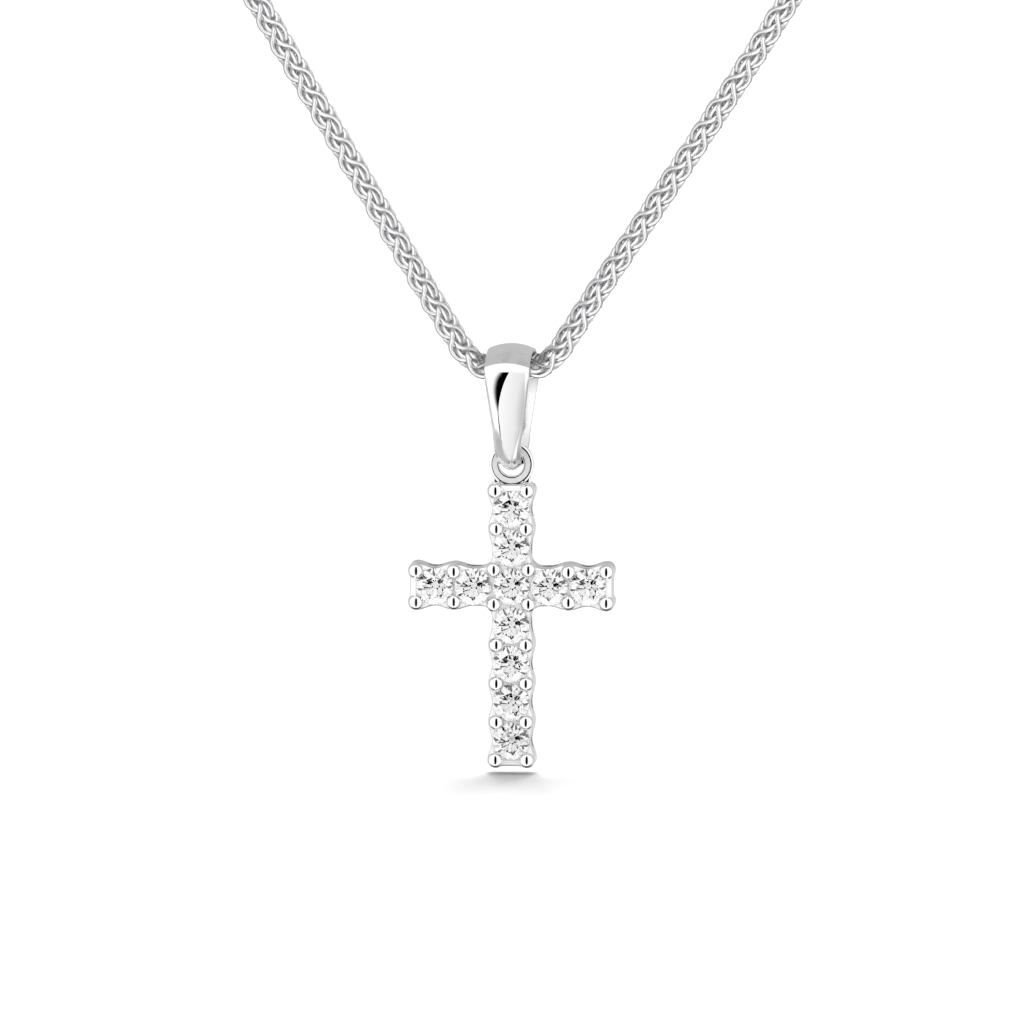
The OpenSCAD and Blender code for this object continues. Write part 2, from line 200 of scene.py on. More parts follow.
above_ground = smooth_step(elevation, radians(-28), radians(-20))
low = math_node("MULTIPLY", above_ground, smooth_step(elevation, 0, radians(5), 1, 0))
low_behind = math_node("MULTIPLY", smooth_step(round_to_back, radians(148), radians(156)), low)
shade = between(behind, tent_white, back_white)
shade = between(low_behind, shade, rear_white)
shade = between(beneath, shade, under_white)
for_metal = math_node("MULTIPLY", white, shade)
stone_shade = between(smooth_step(elevation, radians(-25), radians(25)), stone_under_white, stone_white)
for_stones = math_node("MULTIPLY", math_node("MAXIMUM", beside_camera, past_camera), stone_shade)
rays = tree.nodes.new("ShaderNodeLightPath")
level = between(rays.outputs["Is Transmission Ray"], for_metal, for_stones)
level = between(rays.outputs["Is Diffuse Ray"], level, diffuse_white)
tent = tree.nodes.new("ShaderNodeBackground")
tree.links.new(level, tent.inputs["Strength"])
backdrop = tree.nodes.new("ShaderNodeBackground")
backdrop.inputs["Strength"].default_value = backdrop_white
choice = tree.nodes.new("ShaderNodeMixShader")
tree.links.new(rays.outputs["Is Camera Ray"], choice.inputs[0])
tree.links.new(tent.outputs[0], choice.inputs[1])
tree.links.new(backdrop.outputs[0], choice.inputs[2])
output = tree.nodes.new("ShaderNodeOutputWorld")
tree.links.new(choice.outputs[0], output.inputs["Surface"])

lamp_azimuth = radians(11)
lamp_strength = 0.4
lamp_softness = radians(12)
for side in (-1, 1):
    for lamp_elevation in (30, 40, 50, 60, 70, 80):
        lamp = bpy.data.lights.new("rear_lamp", "SUN")
        lamp.energy = lamp_strength
        lamp.angle = lamp_softness
        holder = bpy.data.objects.new("rear_lamp", lamp)
        bpy.context.scene.collection.objects.link(holder)
        towards_lamp = Vector((
            side * sin(lamp_azimuth) * cos(radians(lamp_elevation)),
            cos(lamp_azimuth) * cos(radians(lamp_elevation)),
            sin(radians(lamp_elevation)),
        ))
        holder.rotation_euler = towards_lamp.to_track_quat("Z", "Y").to_euler()
        holder.visible_glossy = False

# The chain is a wheat chain of round white-metal wire. Each link is a long loop whose two ends stand
# up as ears, and the next links pass through them, so that the ears look like grains of wheat. It
# is made as two halves, which run up from a plain ring hidden in the bail to the clasp.
hang = Vector((0, -0.118, -0.108))
chain_end_x = 0.0039
# The chain's middle line from the left of the clasp round the neck, measured from where it hangs
ROUTE = [
    (-0.006, 0.118, 0.108), (-0.021, 0.114, 0.1079), (-0.0355, 0.1056, 0.1069),
    (-0.0475, 0.0932, 0.104), (-0.0556, 0.078, 0.1), (-0.0586, 0.061, 0.0943), (-0.057, 0.044, 0.0863),
    (-0.052, 0.0293, 0.076), (-0.0445, 0.018, 0.0645), (-0.0355, 0.01, 0.052), (-0.026, 0.0047, 0.0388),
    (-0.0175, 0.0016, 0.026), (-0.0109, 0.0003, 0.015), (-0.00675, 0, 0.008), (-0.0041, 0, 0.0035),
    (-0.0031, 0, 0.00185), (-0.0027, 0, 0.0012), (-0.0022, 0, 0.0006), (-0.0015, 0, 0.00014),
    (-0.0007, 0, 0), (0.00055, 0, 0), (0.00135, 0, 0.00014), (0.00205, 0, 0.00054),
    (0.0025, 0, 0.00105), (0.0031, 0, 0.00195), (0.0041, 0, 0.0035), (0.0071, 0, 0.008),
    (0.0117, 0.0003, 0.015), (0.0186, 0.0016, 0.026), (0.027, 0.0047, 0.0388), (0.036, 0.01, 0.052),
    (0.0448, 0.018, 0.0645), (0.052, 0.0293, 0.076), (0.057, 0.044, 0.0863), (0.0586, 0.061, 0.0943),
    (0.0556, 0.078, 0.1), (0.0475, 0.0932, 0.104), (0.0355, 0.1056, 0.1069), (0.021, 0.114, 0.1079),
    (0.006, 0.118, 0.108),
]
# Half of one link, in millimetres: out from the chain's middle, aside, and up along the chain. It
# starts under the foot, goes up the outside of an ear, over its tip and down its inside. These points
# aren't chosen by hand: a separate fitting program moved hand-set ones until neighbouring wires almost
# cleared each other, and its result was then made 6% wider and rounded.
HALF_LINK = [
    (0.00, -0.14, -0.10), (0.37, -0.08, 0.02), (0.55, -0.10, 0.24), (0.64, -0.08, 0.46),
    (0.66, 0.07, 0.88), (0.48, 0.46, 1.34), (0.30, 0.40, 1.63), (0.22, 0.04, 1.78),
    (0.36, -0.34, 1.50), (0.39, -0.34, 1.38), (0.39, 0.04, 0.85), (0.47, 0.17, 0.55),
    (0.50, 0.20, 0.26), (0.36, 0.19, 0.02),
]
wire_d = 0.26 * mm
wire_sides = 5
link_step = 0.705 * mm
link_height = 1.9 * mm
first_link = 0.35 * mm
links_in_view = 44
fine_steps = 3
coarse_steps = 2
# How far the shading of the wires leans towards the middle of the V, which draws the bright side of
# each wire together into one broad strip
shading_lean = 0.7


def smooth_curve(points, steps, closed=False):
    """A smooth curve through the points, with the same number of steps in every stretch."""
    p = np.array(points, float)
    if closed:
        p = np.vstack([p[-1], p, p[0], p[1]])
    else:
        p = np.vstack([2 * p[0] - p[1], p, 2 * p[-1] - p[-2]])
    span = np.linalg.norm(np.diff(p, axis=0), axis=1)[:, None]
    way = np.diff(p, axis=0) / span
    slope = (way[:-1] * span[1:] + way[1:] * span[:-1]) / (span[:-1] + span[1:])
    a, b, length = p[1:-2], p[2:-1], span[1:-1]
    rows = [
        (2 * t**3 - 3 * t**2 + 1) * a + (t**3 - 2 * t**2 + t) * length * slope[:-1]
        + (3 * t**2 - 2 * t**3) * b + (t**3 - t**2) * length * slope[1:]
        for t in np.arange(steps) / steps
    ]
    curve = np.stack(rows, 1).reshape(-1, 3)
    return curve if closed else np.vstack([curve, b[-1:]])


def wire_rings(curve, radius, sides):
    """Rings of points round a closed curve, turned as little as the curve allows."""
    ahead = np.roll(curve, -1, 0) - np.roll(curve, 1, 0)
    ahead /= np.linalg.norm(ahead, axis=1)[:, None]
    normal = np.cross(ahead[0], (0.3, 0.5, 0.8))
    normals = []
    for way in np.vstack([ahead, ahead[:1]]):
        normal = normal - normal.dot(way) * way
        normal /= np.linalg.norm(normal)
        normals.append(normal)
    normals = np.array(normals)
    across = np.cross(ahead, normals[:-1])
    twist = atan2(normals[-1].dot(across[0]), normals[-1].dot(normals[0]))
    turn = np.arange(sides)[None] * 2 * pi / sides - twist * np.arange(len(curve))[:, None] / len(curve)
    turn = turn[..., None]
    return curve[:, None] + radius * (np.cos(turn) * normals[:-1, None] + np.sin(turn) * across[:, None])


def ring_faces(rings, sides):
    """Faces round a closed string of rings."""
    i, k = np.meshgrid(np.arange(rings), np.arange(sides), indexing="ij")
    i2, k2 = (i + 1) % rings, (k + 1) % sides
    return np.stack([i * sides + k, i * sides + k2, i2 * sides + k2, i2 * sides + k], -1).reshape(-1, 4)


line_ends = (chain_end_x, -hang.y, -hang.z)
line_points = [(-line_ends[0], *line_ends[1:])] + ROUTE + [line_ends]
line = smooth_curve(line_points, 40) + np.array(hang)
run = np.concatenate([[0], np.cumsum(np.linalg.norm(np.diff(line, axis=0), axis=1))])
middle = int((np.abs(line[:, 0]) + np.abs(line[:, 2] - hang.z)).argmin())
run -= run[middle]
heading = np.gradient(line, run, axis=0)
heading /= np.linalg.norm(heading, axis=1)[:, None]
# Beside the line, the direction that is backward in the V, carried on round the neck without a twist
backward = np.zeros_like(line)
for order in (range(middle, len(line)), range(middle, -1, -1)):
    back = np.array((0, 1, 0), float)
    for i in order:
        back = back - back.dot(heading[i]) * heading[i]
        back /= np.linalg.norm(back)
        backward[i] = back
outward = np.cross(backward, heading)


def along_chain(points):
    """Bends points along the middle line: outward in the V, backward, and from its lowest point."""
    out, back, way = points.reshape(-1, 3).T
    spot, outs, backs = (
        np.stack([np.interp(way, run, rows[:, i]) for i in range(3)], 1) for rows in (line, outward, backward)
    )
    return spot + out[:, None] * outs + back[:, None] * backs


def link_rings(mirrored, steps, sides):
    """The wire of one link that stands at the origin, of the left or of the right family."""
    half = np.array(HALF_LINK) * mm
    out, aside, up = np.vstack([half, half * (-1, -1, 1)]).T
    corner = sqrt(0.5)
    curve = smooth_curve(np.stack([(aside - out) * corner, (-out - aside) * corner, up], 1), steps, True)
    if mirrored:
        curve[:, 0] *= -1
    return wire_rings(curve, wire_d / 2, sides)


polished_wire, shader = new_finish("polished_wire", (0.95, 0.95, 0.96), 0.9, 0.2)
tree.links.new(smooth_step(fine_grain(4000, 3)[0], 0.3, 0.7, 0.16, 0.24), shader.inputs["Roughness"])

for side, name in ((-1, "chain_left_half"), (1, "chain_right_half")):
    length = run[-1] if side > 0 else -run[0]
    points, faces, count = [], [], 0
    for k in range(int((length - first_link - link_height) / link_step)):
        mirrored = k % 2 == 1
        rings = link_rings(mirrored, fine_steps if k < links_in_view else coarse_steps, wire_sides)
        rings[..., 2] = side * (rings[..., 2] + first_link + k * link_step)
        cells = ring_faces(*rings.shape[:2])
        if mirrored == (side > 0):
            cells = cells[:, ::-1]
        points.append(along_chain(rings))
        faces.append(cells + count)
        count += len(points[-1])
    half_chain = make_piece(name, np.vstack(points), np.vstack(faces), polished_wire)
    normals = np.empty(3 * len(half_chain.data.vertices))
    half_chain.data.vertex_normals.foreach_get("vector", normals)
    normals = normals.reshape(-1, 3) - (side * shading_lean, 0, 0)
    normals /= np.linalg.norm(normals, axis=1)[:, None]
    half_chain.data.normals_split_custom_set_from_vertices(normals.tolist())
    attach(half_chain, "necklace")
    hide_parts("chain")

# The middle ring is a small plain oval of the chain's own wire. It is hidden in the bail, where it
# joins the first links of the two halves.
ring_reach = first_link + 0.2 * mm
ring_half = 0.4 * mm
oval = [
    (ring_half * cos(a) * sqrt(0.5), -ring_half * cos(a) * sqrt(0.5), ring_reach * sin(a))
    for a in np.arange(8) * pi / 4
]
rings = wire_rings(smooth_curve(oval, 4, True), wire_d / 2, 8)
middle_ring = make_piece("chain_middle_ring", along_chain(rings), ring_faces(*rings.shape[:2]), polished_wire)
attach(middle_ring, "necklace")
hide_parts("chain")

# The clasp is a plain polished barrel of two halves that screw together at a fine seam in the
# middle. It is hidden at the nape, and each end holds an end of the chain in a round socket.
clasp_length = 10 * mm
clasp_width = 3 * mm
clasp_end_width = 2.4 * mm
socket_depth = 1.2 * mm
socket_width = 1.7 * mm
seam_width = 0.2 * mm
seam_depth = 0.12 * mm


def rounded(corners, steps):
    """Points of a line through corners (x, y, radius), with an arc in place of each corner."""
    points = []
    for i, (x, y, radius) in enumerate(corners):
        here = Vector((x, y))
        if radius == 0:
            points.append((x, y))
            continue
        before = (Vector(corners[i - 1][:2]) - here).normalized()
        after = (Vector(corners[(i + 1) % len(corners)][:2]) - here).normalized()
        half = before.angle(after) / 2
        centre = here + (before + after).normalized() * radius / sin(half)
        first = here + before * radius / tan(half) - centre
        last = here + after * radius / tan(half) - centre
        sweep = atan2(first.x * last.y - first.y * last.x, first.dot(last))
        for k in range(steps + 1):
            a = sweep * k / steps
            points.append((
                centre.x + first.x * cos(a) - first.y * sin(a), centre.y + first.x * sin(a) + first.y * cos(a)
            ))
    return points


def turned_solid(profile, sides):
    """Points and faces of a solid turned about Z from a profile (radius, height) between two poles."""
    turns = np.arange(sides) * 2 * pi / sides
    points = [(r * cos(a), r * sin(a), h) for r, h in profile[1:-1] for a in turns]
    rings = len(profile) - 2
    points += [(0, 0, profile[0][1]), (0, 0, profile[-1][1])]
    faces = [
        (i * sides + k, i * sides + (k + 1) % sides, (i + 1) * sides + (k + 1) % sides, (i + 1) * sides + k)
        for i in range(rings - 1) for k in range(sides)
    ]
    faces += [(rings * sides, (k + 1) % sides, k) for k in range(sides)]
    top = (rings - 1) * sides
    faces += [(rings * sides + 1, top + k, top + (k + 1) % sides) for k in range(sides)]
    return np.array(points), faces


def face_outward(piece):
    """Turns all faces of a closed mesh outward."""
    shape = bmesh.new()
    shape.from_mesh(piece.data)
    bmesh.ops.recalc_face_normals(shape, faces=shape.faces)
    shape.to_mesh(piece.data)
    shape.free()


narrowing = clasp_width - clasp_end_width
belly_radius = (clasp_length**2 + narrowing**2) / 4 / narrowing
end, inner, socket = -clasp_length / 2, socket_depth - clasp_length / 2, socket_width / 2
belly = [
    (clasp_width / 2 - belly_radius + sqrt(belly_radius**2 - h**2), h)
    for h in np.linspace(end, -seam_width / 2, 16)
]
half_profile = [(0, inner, 0), (socket, inner, 0.05 * mm), (socket, end, 0.08 * mm), (*belly[0], 0.15 * mm)]
half_profile += [(r, h, 0) for r, h in belly[2:-1]]
half_profile += [(*belly[-1], 0.05 * mm), (belly[-1][0] - seam_depth, -seam_width / 2, 0)]
profile = rounded(half_profile + [(r, -h, soft) for r, h, soft in half_profile[::-1]], 4)
points, faces = turned_solid(profile, 64)


def polish(name, scale, smoothest, roughest, grey=0.95, metal=1):
    """White metal whose gloss changes a little over it. Returns it, its shader, its place and grain."""
    finish, shader = new_finish(name, (grey, grey, grey + 0.01), metal, smoothest)
    grain, place = fine_grain(scale, 4)
    tree.links.new(smooth_step(grain, 0.3, 0.7, smoothest, roughest), shader.inputs["Roughness"])
    return finish, shader, place, grain


rhodium = polish("rhodium_polish", 1500, 0.03, 0.08)[0]
clasp = make_piece("barrel_clasp", points[:, [2, 1, 0]], faces, rhodium)
face_outward(clasp)
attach(clasp, "necklace")
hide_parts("clasp")

# The bail is one teardrop loop of polished white metal, cast and polished, with a domed outside. It
# is widest over the chain, and narrow and thick where it passes through the eyelet.
bail_height = 6.7 * mm
bail_width = 2.4 * mm
bail_foot_width = 0.84 * mm
top_radius = 1.25 * mm
foot_radius = 0.9 * mm
wall = 0.42 * mm
wall_edge = 0.15 * mm
foot_wall = 0.95 * mm
swell_height = 1.6 * mm
inner_trim = 0.05 * mm
edge_round = 0.06 * mm
leaf_power = 0.85
bail_turn = radians(-7.5)
pivot = hang + Vector((0, 0, -0.3 * mm))
leg = bail_height - wall - top_radius - foot_radius - foot_wall
bail_lean = asin((top_radius - foot_radius) / leg)
bail_low = -leg - foot_radius - foot_wall


def bail_section(z):
    """Points round the wall at a height: across the bail, and outward from its inner line."""
    share = min(1, max(0, (z - bail_low) / -bail_low))
    half = (bail_foot_width + (bail_width - bail_foot_width) * share**leaf_power) / 2
    t = min(1, max(0, 1 - (z - bail_low - foot_wall) / swell_height))
    footing = t * t * (3 - 2 * t)
    thick = wall + (foot_wall - wall) * footing
    curl = (foot_wall - wall_edge) / 2 * footing
    flat = 1 - edge_round / half
    outside = [(u * half, thick - (thick - curl - wall_edge) * u * u) for u in flat * np.linspace(-1, 1, 25)]
    inside = [(u * half, max(0, curl * u * u - inner_trim)) for u in flat * np.linspace(1, -1, 13)]
    top, low = outside[-1][1], inside[0][1]
    soft = min(edge_round, (top - low) / 2)
    quarter = np.linspace(0, pi / 2, 5)
    edge = [(outside[-1][0] + edge_round * sin(a), top - soft * (1 - cos(a))) for a in quarter]
    edge += [(outside[-1][0] + edge_round * cos(a), low + soft * (1 - sin(a))) for a in quarter]
    return outside[1:-1] + edge + inside[1:-1] + [(-x, out) for x, out in edge[::-1]]


top_arc = [
    (a, top_radius * cos(a), top_radius * sin(a)) for a in np.linspace(-bail_lean, pi + bail_lean, 73)
]
foot_arc = [
    (a, foot_radius * cos(a), foot_radius * sin(a) - leg)
    for a in np.linspace(pi + bail_lean, 2 * pi - bail_lean, 45)
]
stations = []
for arc, following in ((top_arc, foot_arc), (foot_arc, top_arc)):
    stations += arc
    a, y, z = arc[-1]
    stations += [
        (a, y + (following[0][1] - y) * t, z + (following[0][2] - z) * t) for t in np.arange(1, 28) / 28
    ]
rings = np.array([
    [(x, y + out * cos(a), z + out * sin(a)) for x, out in bail_section(z)] for a, y, z in stations
])
points = rings.reshape(-1, 3) @ np.array(Matrix.Rotation(-bail_turn, 3, "Z")) + np.array(pivot)


def bail_axes(place):
    """The place on the bail in millimetres: across it, backward, and up from the middle of its top."""
    local = tree.nodes.new("ShaderNodeMapping")
    local.vector_type = "TEXTURE"
    local.inputs["Location"].default_value = pivot
    local.inputs["Rotation"].default_value = (0, 0, bail_turn)
    local.inputs["Scale"].default_value = (mm, mm, mm)
    tree.links.new(place, local.inputs["Vector"])
    axes = tree.nodes.new("ShaderNodeSeparateXYZ")
    tree.links.new(local.outputs["Vector"], axes.inputs[0])
    return axes.outputs


def parabola(value, middle, curve, base):
    """base + curve * (value - middle) squared."""
    away = math_node("SUBTRACT", value, middle)
    return math_node("ADD", math_node("MULTIPLY", math_node("MULTIPLY", away, away), curve), base)


def vector_node(operation, first, second, slot=1):
    """A vector math node between two sockets or constants. Returns the node."""
    step = tree.nodes.new("ShaderNodeVectorMath")
    step.operation = operation
    for value, socket in ((first, step.inputs[0]), (second, step.inputs[slot])):
        if hasattr(value, "is_output"):
            tree.links.new(value, socket)
        else:
            socket.default_value = value
    return step


def lean_surface(shader, tilt, lift):
    """Leans the surface's shading across the bail and upward. Its shape stays as it is."""
    across_bail = (cos(bail_turn), sin(bail_turn), 0)
    normal = tree.nodes.new("ShaderNodeNewGeometry").outputs["Normal"]
    sideways = vector_node("DOT_PRODUCT", normal, across_bail).outputs["Value"]
    facing = math_node("SQRT", parabola(sideways, 0, -1, 1))
    lean = vector_node("SCALE", across_bail, math_node("MULTIPLY", tilt, facing), 3).outputs[0]
    rise = vector_node("SCALE", (0, 0, 1), lift, 3).outputs[0]
    leaned = vector_node("ADD", vector_node("ADD", normal, lean).outputs[0], rise).outputs[0]
    tree.links.new(vector_node("NORMALIZE", leaned, (0, 0, 0)).outputs[0], shader.inputs["Normal"])


bail_polish, shader, place = polish("bail_polish", 1500, 0.03, 0.08)[:3]
across, depth, height = bail_axes(place)
# The front's lines: where its flat face begins and ends, and how far a place is from each edge
face_left = math_node("SUBTRACT", across, parabola(height, -2.1, 0.114, -0.45))
face_right = math_node("SUBTRACT", parabola(height, 0, -0.037, 1), across)
half_width = math_node("ADD", math_node("MULTIPLY", height, 0.145), 1.2)
edge_left = math_node("ADD", across, half_width)
edge_right = math_node("SUBTRACT", half_width, across)
past_left = smooth_step(face_left, -0.015, 0.015)
before_right = smooth_step(face_right, -0.02, 0.02)
line_right = smooth_step(edge_right, 0.05, 0.13, 1, 0)
# The sideways lean: left of the face, on it, right of it, along both edges, and on the dome above
near_foot = smooth_step(height, -3.4, -1.9, 1, 0)
streak = math_node("SUBTRACT", parabola(height, -1.4, -0.055, 0.25), math_node("MULTIPLY", across, 0.15))
face_tilt = math_node("ADD", math_node("MULTIPLY", face_left, 0.65), 0.62)
tilt = between(past_left, between(near_foot, streak, -0.8), face_tilt)
tilt = between(before_right, 0.3, tilt)
tilt = between(smooth_step(edge_left, 0.06, 0.16), -1.2, tilt)
tilt = between(line_right, tilt, 1.2)
dome = math_node("ADD", math_node("MULTIPLY", across, -0.375), -0.25)
tilt = between(smooth_step(height, 0.26, 0.3), tilt, dome)
# The cap over the chain leans upward, and less so towards the back
over_cap = math_node("SUBTRACT", height, parabola(across, 0, -0.17, 0.72))
cap = smooth_step(over_cap, -0.02, 0.02)
lift = math_node("MULTIPLY", cap, smooth_step(depth, 0, 0.8, 1.2, 0))
lean_surface(shader, between(cap, tilt, 0), lift)
# The face is painted a little greyer than the rest, and the right edge greyer still. This grey is
# painted shade that stands in for darker reflections on the polished metal.
to_right = math_node("SUBTRACT", across, math_node("MULTIPLY", height, 0.1))
painted_face_shade = smooth_step(to_right, -0.5, 1.1, 0.88, 0.72)
under_cap = math_node("MULTIPLY", before_right, smooth_step(height, 0.2, 0.28, 1, 0))
colour = between(math_node("MULTIPLY", past_left, under_cap), 0.95, painted_face_shade)
# Painted shade of 0.58 along the right edge below the cap
painted_edge_shade = math_node("MULTIPLY", line_right, smooth_step(height, -0.4, 0.1, 1, 0))
tree.links.new(between(painted_edge_shade, colour, 0.58), shader.inputs["Base Color"])

bail_inside, shader, place = polish("bail_inside", 6000, 0.2, 0.3)[:3]
across, _, height = bail_axes(place)
lean_surface(shader, math_node("MULTIPLY", across, 0.75), 0)
# The inside is painted greyer under the top and at the foot: painted shade.
painted_shade_under_top = smooth_step(height, -1.4, 0.2, 0.95, 0.5)
painted_shade_at_foot = smooth_step(height, -4, -2.4, 0.7, 1)
tree.links.new(math_node("MULTIPLY", painted_shade_under_top, painted_shade_at_foot), shader.inputs["Base Color"])
bail = make_piece("teardrop_bail", points, ring_faces(*rings.shape[:2]), bail_polish, bail_inside)
face_outward(bail)
# The faces of a section that lie inside, from the middle of one edge to the middle of the other
inside_faces = range(28, 48)
section_count = len(bail_section(0))
for i, face in enumerate(bail.data.polygons):
    face.material_index = 1 if i % section_count in inside_faces else 0
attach(bail, "bail")
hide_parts("bail")

# The setting is one casting with an eyelet soldered on top: a wavy gallery with a seat and a light hole
# for each stone, windows through its limbs, and a round prong bead at every corner of the stones. Beads
# are polished, its front is frosted, its sides and back are satin, and the eyelet's face is sandy. The
# sides are the same satin painted greyer: painted shade.
stone_width = 1.95 * mm
table_width = 1.1 * mm
crown_height = 0.3 * mm
girdle = 0.06 * mm
pavilion = 0.84 * mm
upright_pitch = 2.03 * mm
arm_pitch = 2 * mm
seat_gap = 0.02 * mm
bead_width = 0.83 * mm
prong_reach = 1.275 * mm
end_prong_angle = radians(40)
prong_foot = 0.45 * mm
band = 1.025 * mm
end_lip = 0.34 * mm
flat_end = 0.3 * mm
corner_radius = 0.6 * mm
gallery_depth = 1.4 * mm
light_hole_width = 1 * mm
window_width = 0.84 * mm
window_reach = 1.35 * mm
rail = 0.2 * mm
rim_round = 0.07 * mm
setback = 0.62 * mm
cross_z = -11.3767 * mm
cross_place = hang + Vector((0, 0, cross_z))
front = 2 * girdle - setback
rear = front + gallery_depth
end_step = prong_reach * cos(end_prong_angle)
end_side = prong_reach * sin(end_prong_angle)
# Each limb of the cross: its direction, its stones and their pitch
LIMBS = [
    (0, 2, arm_pitch), (pi / 2, 2, upright_pitch), (pi, 2, arm_pitch), (3 * pi / 2, 4, upright_pitch),
]


def limb_side(stones, pitch):
    """One side of a limb's outline, from the hollow corner out to the middle of its end."""
    swell = sqrt(prong_reach**2 - pitch**2 / 4) + prong_foot - band
    last = stones * pitch
    side = [
        (t, band + swell * (1 - cos(2 * pi * t / pitch)) / 2)
        for t in np.linspace(pitch, last, 24 * (stones - 1) + 1)
    ]
    lobe = (last + end_step, end_side)
    steps = np.linspace(0, 1, 12)[1:-1]
    top = lobe[1] + prong_foot
    side += [(last + end_step * t, band + (top - band) * t * t * (3 - 2 * t)) for t in steps]
    bends = np.linspace(pi / 2, -pi / 5, 20)
    side += [(lobe[0] + prong_foot * cos(a), lobe[1] + prong_foot * sin(a)) for a in bends]
    return side + [(lobe[0] + end_lip, flat_end), (lobe[0] + end_lip, 0)]


outline = []
for turn, stones, pitch in LIMBS:
    side = limb_side(stones, pitch)
    limb = [(t, -s) for t, s in side] + [(t, s) for t, s in side[-2::-1]]
    hollow = band + corner_radius
    limb += [
        (hollow - corner_radius * sin(a), hollow - corner_radius * cos(a)) for a in np.linspace(0, pi / 2, 13)
    ][:-1]
    outline += [(t * cos(turn) - s * sin(turn), t * sin(turn) + s * cos(turn)) for t, s in limb]
outline = np.array(outline)
tangent = np.roll(outline, -1, 0) - np.roll(outline, 1, 0)
tangent /= np.linalg.norm(tangent, axis=1)[:, None]
inward = np.stack([-tangent[:, 1], tangent[:, 0]], 1)
rings = []
for depth, turn in ((front, 1), (rear, -1)):
    quarter = np.linspace(0, pi / 2, 5)[::turn]
    for a in quarter:
        flat = outline + inward * rim_round * (1 - sin(a))
        y = depth + turn * rim_round * (1 - cos(a))
        rings.append(np.stack([flat[:, 0], np.full(len(flat), y), flat[:, 1]], 1))
count = len(outline)
faces = ring_faces(len(rings), count)[:-count].tolist()
caps = [list(range(count)), list(range((len(rings) - 1) * count, len(rings) * count))]
satin = polish("satin_metal", 6000, 0.3, 0.42)[0]
# The sides are the satin metal painted greyer: painted shade, not a different metal.
shaded_side_satin = polish("satin_sides_painted_shade", 6000, 0.3, 0.42, 0.78)[0]
frosted = polish("frosted_metal", 6000, 0.8, 0.95, 0.98, 0.15)[0]
sandy, shader, place, grain = polish("sandy_casting", 9000, 0.75, 0.9, 0.82, 0.5)
pitting = tree.nodes.new("ShaderNodeBump")
pitting.inputs["Strength"].default_value = 0.35
pitting.inputs["Distance"].default_value = 0.01 * mm
tree.links.new(grain, pitting.inputs["Height"])
tree.links.new(pitting.outputs["Normal"], shader.inputs["Normal"])
mesh = bpy.data.meshes.new("cross_metal")
mesh.from_pydata(np.vstack(rings).tolist(), [], faces + caps)
setting = bpy.data.objects.new("cross_metal", mesh)
bpy.context.scene.collection.objects.link(setting)
face_outward(setting)


def combine(base, operation, points, faces):
    """Joins a closed solid to the base, or cuts it from the base."""
    tool = make_piece("tool", points, faces)
    face_outward(tool)
    step = base.modifiers.new("combine", "BOOLEAN")
    step.object = tool
    step.operation = operation
    step.solver = "MANIFOLD"
    graph = bpy.context.evaluated_depsgraph_get()
    result = bpy.data.meshes.new_from_object(base.evaluated_get(graph))
    base.modifiers.clear()
    base.data = result
    bpy.data.objects.remove(tool)


def pin(width, reach):
    """The profile of a plain round pin that reaches as far both ways."""
    return [(0, -reach), (width / 2, -reach), (width / 2, reach), (0, reach)]


def copies(points, faces, places):
    """Many copies of one solid as one mesh."""
    every = np.vstack([points + np.array(place) for place in places])
    return every, [tuple(v + i * len(points) for v in face) for i in range(len(places)) for face in faces]


stones_at = [(0, 0)]
for turn, stones, pitch in LIMBS:
    stones_at += [(i * pitch * round(cos(turn)), i * pitch * round(sin(turn))) for i in range(1, stones + 1)]
prongs_at = [(x * prong_reach * sqrt(0.5), z * prong_reach * sqrt(0.5)) for x in (-1, 1) for z in (-1, 1)]
for turn, stones, pitch in LIMBS:
    rows = [((i + 0.5) * pitch, sqrt(prong_reach**2 - pitch**2 / 4)) for i in range(1, stones)]
    for t, s in rows + [(stones * pitch + end_step, end_side)]:
        prongs_at += [(t * cos(turn) - q * sin(turn), t * sin(turn) + q * cos(turn)) for q in (-s, s)]

# The eyelet, a flat ring with rounded rims, on its bridge of solder
eyelet_width = 2.35 * mm
eyelet_hole = 1.27 * mm
eyelet_thick = 0.7 * mm
eyelet_soft = 0.14 * mm
eyelet_up = 6.4117 * mm
solder_width = 2 * mm
solder_thick = 0.5 * mm
solder_soft = 0.1 * mm
solder_bite = 0.2 * mm
hole_soft = 0.06 * mm
bright_line = 0.035 * mm
hole_lip = eyelet_hole / 2 + hole_soft + bright_line
rim_lip = eyelet_width / 2 - eyelet_soft - bright_line
profile = rounded([
    (eyelet_hole / 2, -eyelet_thick / 2, hole_soft), (hole_lip, -eyelet_thick / 2, 0),
    (rim_lip, -eyelet_thick / 2, 0), (eyelet_width / 2, -eyelet_thick / 2, eyelet_soft),
    (eyelet_width / 2, eyelet_thick / 2, eyelet_soft), (rim_lip, eyelet_thick / 2, 0),
    (hole_lip, eyelet_thick / 2, 0), (eyelet_hole / 2, eyelet_thick / 2, hole_soft),
], 6)
turns = np.arange(96) * 2 * pi / 96
ring = np.array([[(r * cos(a), h, r * sin(a) + eyelet_up) for r, h in profile] for a in turns])
solder_low = 2 * upright_pitch + end_step + end_lip - solder_bite
solder = rounded([
    (-solder_width / 2, -solder_thick / 2, solder_soft), (solder_width / 2, -solder_thick / 2, solder_soft),
    (solder_width / 2, solder_thick / 2, solder_soft), (-solder_width / 2, solder_thick / 2, solder_soft),
], 4)
points = [(x, y, z) for z in (solder_low, eyelet_up) for x, y in solder]
count = len(solder)
sides = [(k, (k + 1) % count, count + (k + 1) % count, count + k) for k in range(count)]
combine(setting, "UNION", points, sides + [list(range(count)), list(range(count, 2 * count))])
points, faces = turned_solid(pin(eyelet_hole + eyelet_soft, 1 * mm), 64)
combine(setting, "DIFFERENCE", points[:, [0, 2, 1]] + (0, 0, eyelet_up), faces)
combine(setting, "UNION", ring.reshape(-1, 3), ring_faces(*ring.shape[:2]))

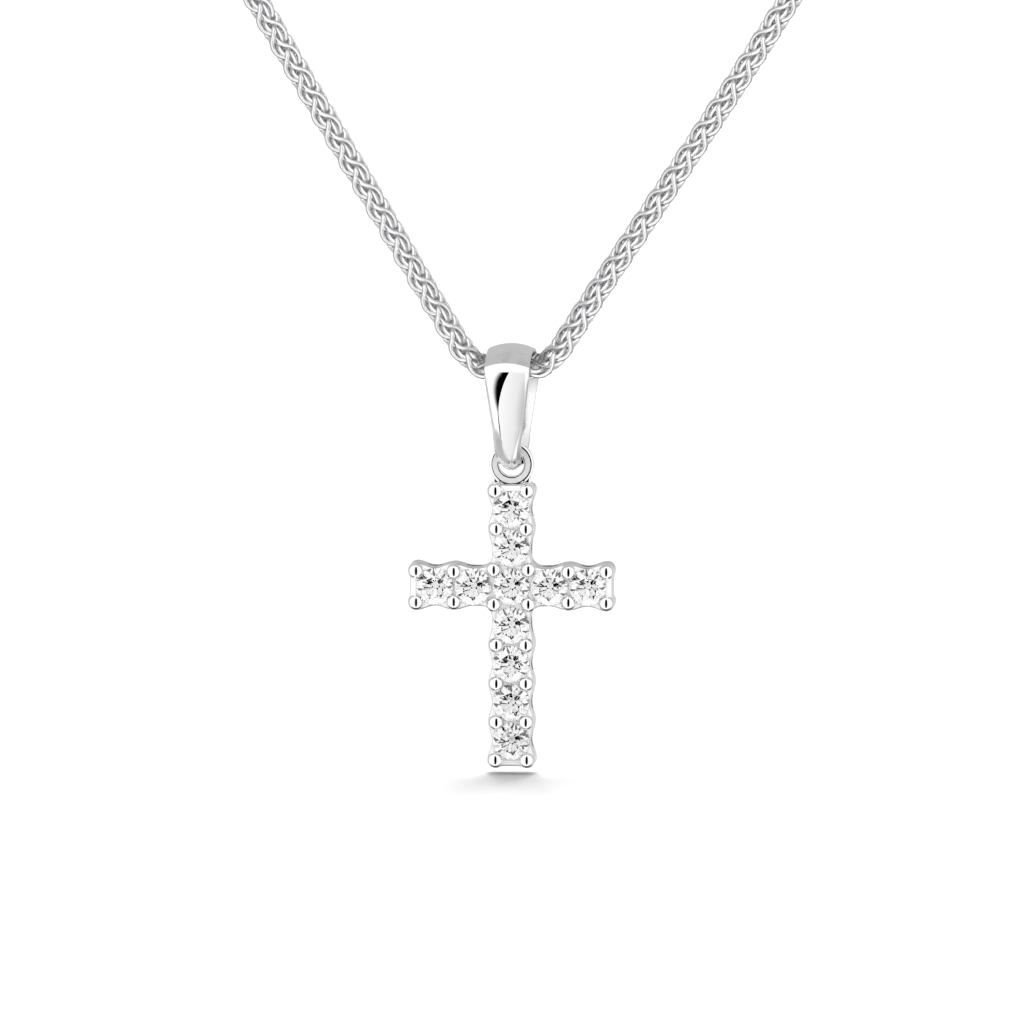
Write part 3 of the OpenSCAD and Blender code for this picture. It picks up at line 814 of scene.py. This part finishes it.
bead = [(bead_width / 2 * sin(a), bead_width / 2 * cos(a)) for a in np.linspace(0, pi, 17)]
points, faces = turned_solid(bead, 32)
combine(setting, "UNION", *copies(points[:, [0, 2, 1]], faces, [(x, -setback, z) for x, z in prongs_at]))
seat = stone_width / 2 + seat_gap
room = [
    (0, -girdle - pavilion - seat_gap), (seat, -girdle - seat_gap / 2), (seat, seat_gap / 2),
    (table_width / 2 + seat_gap, crown_height + seat_gap), (0, crown_height + seat_gap),
]
points, faces = turned_solid(room, 72)
points = points[:, [0, 2, 1]] * (1, -1, 1)
combine(setting, "DIFFERENCE", *copies(points, faces, [(x, -setback, z) for x, z in stones_at]))
points, faces = turned_solid(pin(light_hole_width, gallery_depth / 2), 48)
combine(setting, "DIFFERENCE", *copies(points[:, [0, 2, 1]], faces, [(x, rear, z) for x, z in stones_at]))
window_y = rear - rail - window_width / 2
points, faces = turned_solid(pin(window_width, window_reach), 48)
for upright, order in ((True, [2, 1, 0]), (False, [0, 1, 2])):
    places = [(x, window_y, z) for x, z in stones_at[1:] if (x == 0) == upright]
    combine(setting, "DIFFERENCE", *copies(points[:, order], faces, places))

mesh = setting.data
mesh.transform(Matrix.Translation(cross_place))
mesh.materials.clear()
finishes = [rhodium, satin, frosted, sandy, shaded_side_satin]
for finish in finishes:
    mesh.materials.append(finish)
eyelet_middle = cross_place + Vector((0, 0, eyelet_up))
gallery_top = cross_place.z + 2 * upright_pitch + end_step + end_lip
for face in mesh.polygons:
    flat = abs(face.normal.y) > 0.999
    depth = face.center.y - cross_place.y
    if face.center.z > gallery_top:
        from_middle = (face.center - eyelet_middle).xz.length
        finish = sandy if flat and hole_lip - 0.01 * mm < from_middle < rim_lip + 0.01 * mm else rhodium
    elif depth < front - 0.001 * mm:
        finish = rhodium
    elif flat:
        finish = frosted if abs(depth - front) < 0.002 * mm else satin
    else:
        finish = shaded_side_satin
    face.use_smooth = True
    face.material_index = finishes.index(finish)
mesh.set_sharp_from_angle(angle=radians(32))
weighted = setting.modifiers.new("even_shading", "WEIGHTED_NORMAL")
weighted.keep_sharp = True
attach(setting, "cross")
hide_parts("cross_setting")

# The eleven stones are colourless round brilliants, cut and polished, and held in their seats by the
# prong beads. They stay as the frame has them, with their facets flat and crisp.
brilliant, shader = new_finish("brilliant", (1, 1, 1), 0, 0)
shader.inputs["IOR"].default_value = 2.42
shader.inputs["Transmission Weight"].default_value = 1
tree.links.new(smooth_step(fine_grain(900)[0], 0.3, 0.7, 0.98, 1), shader.inputs["Base Color"])
for name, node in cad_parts.items():
    if name.startswith("stone_"):
        for slot in node.material_slots:
            slot.material = brilliant
        for face in node.data.polygons:
            face.use_smooth = False
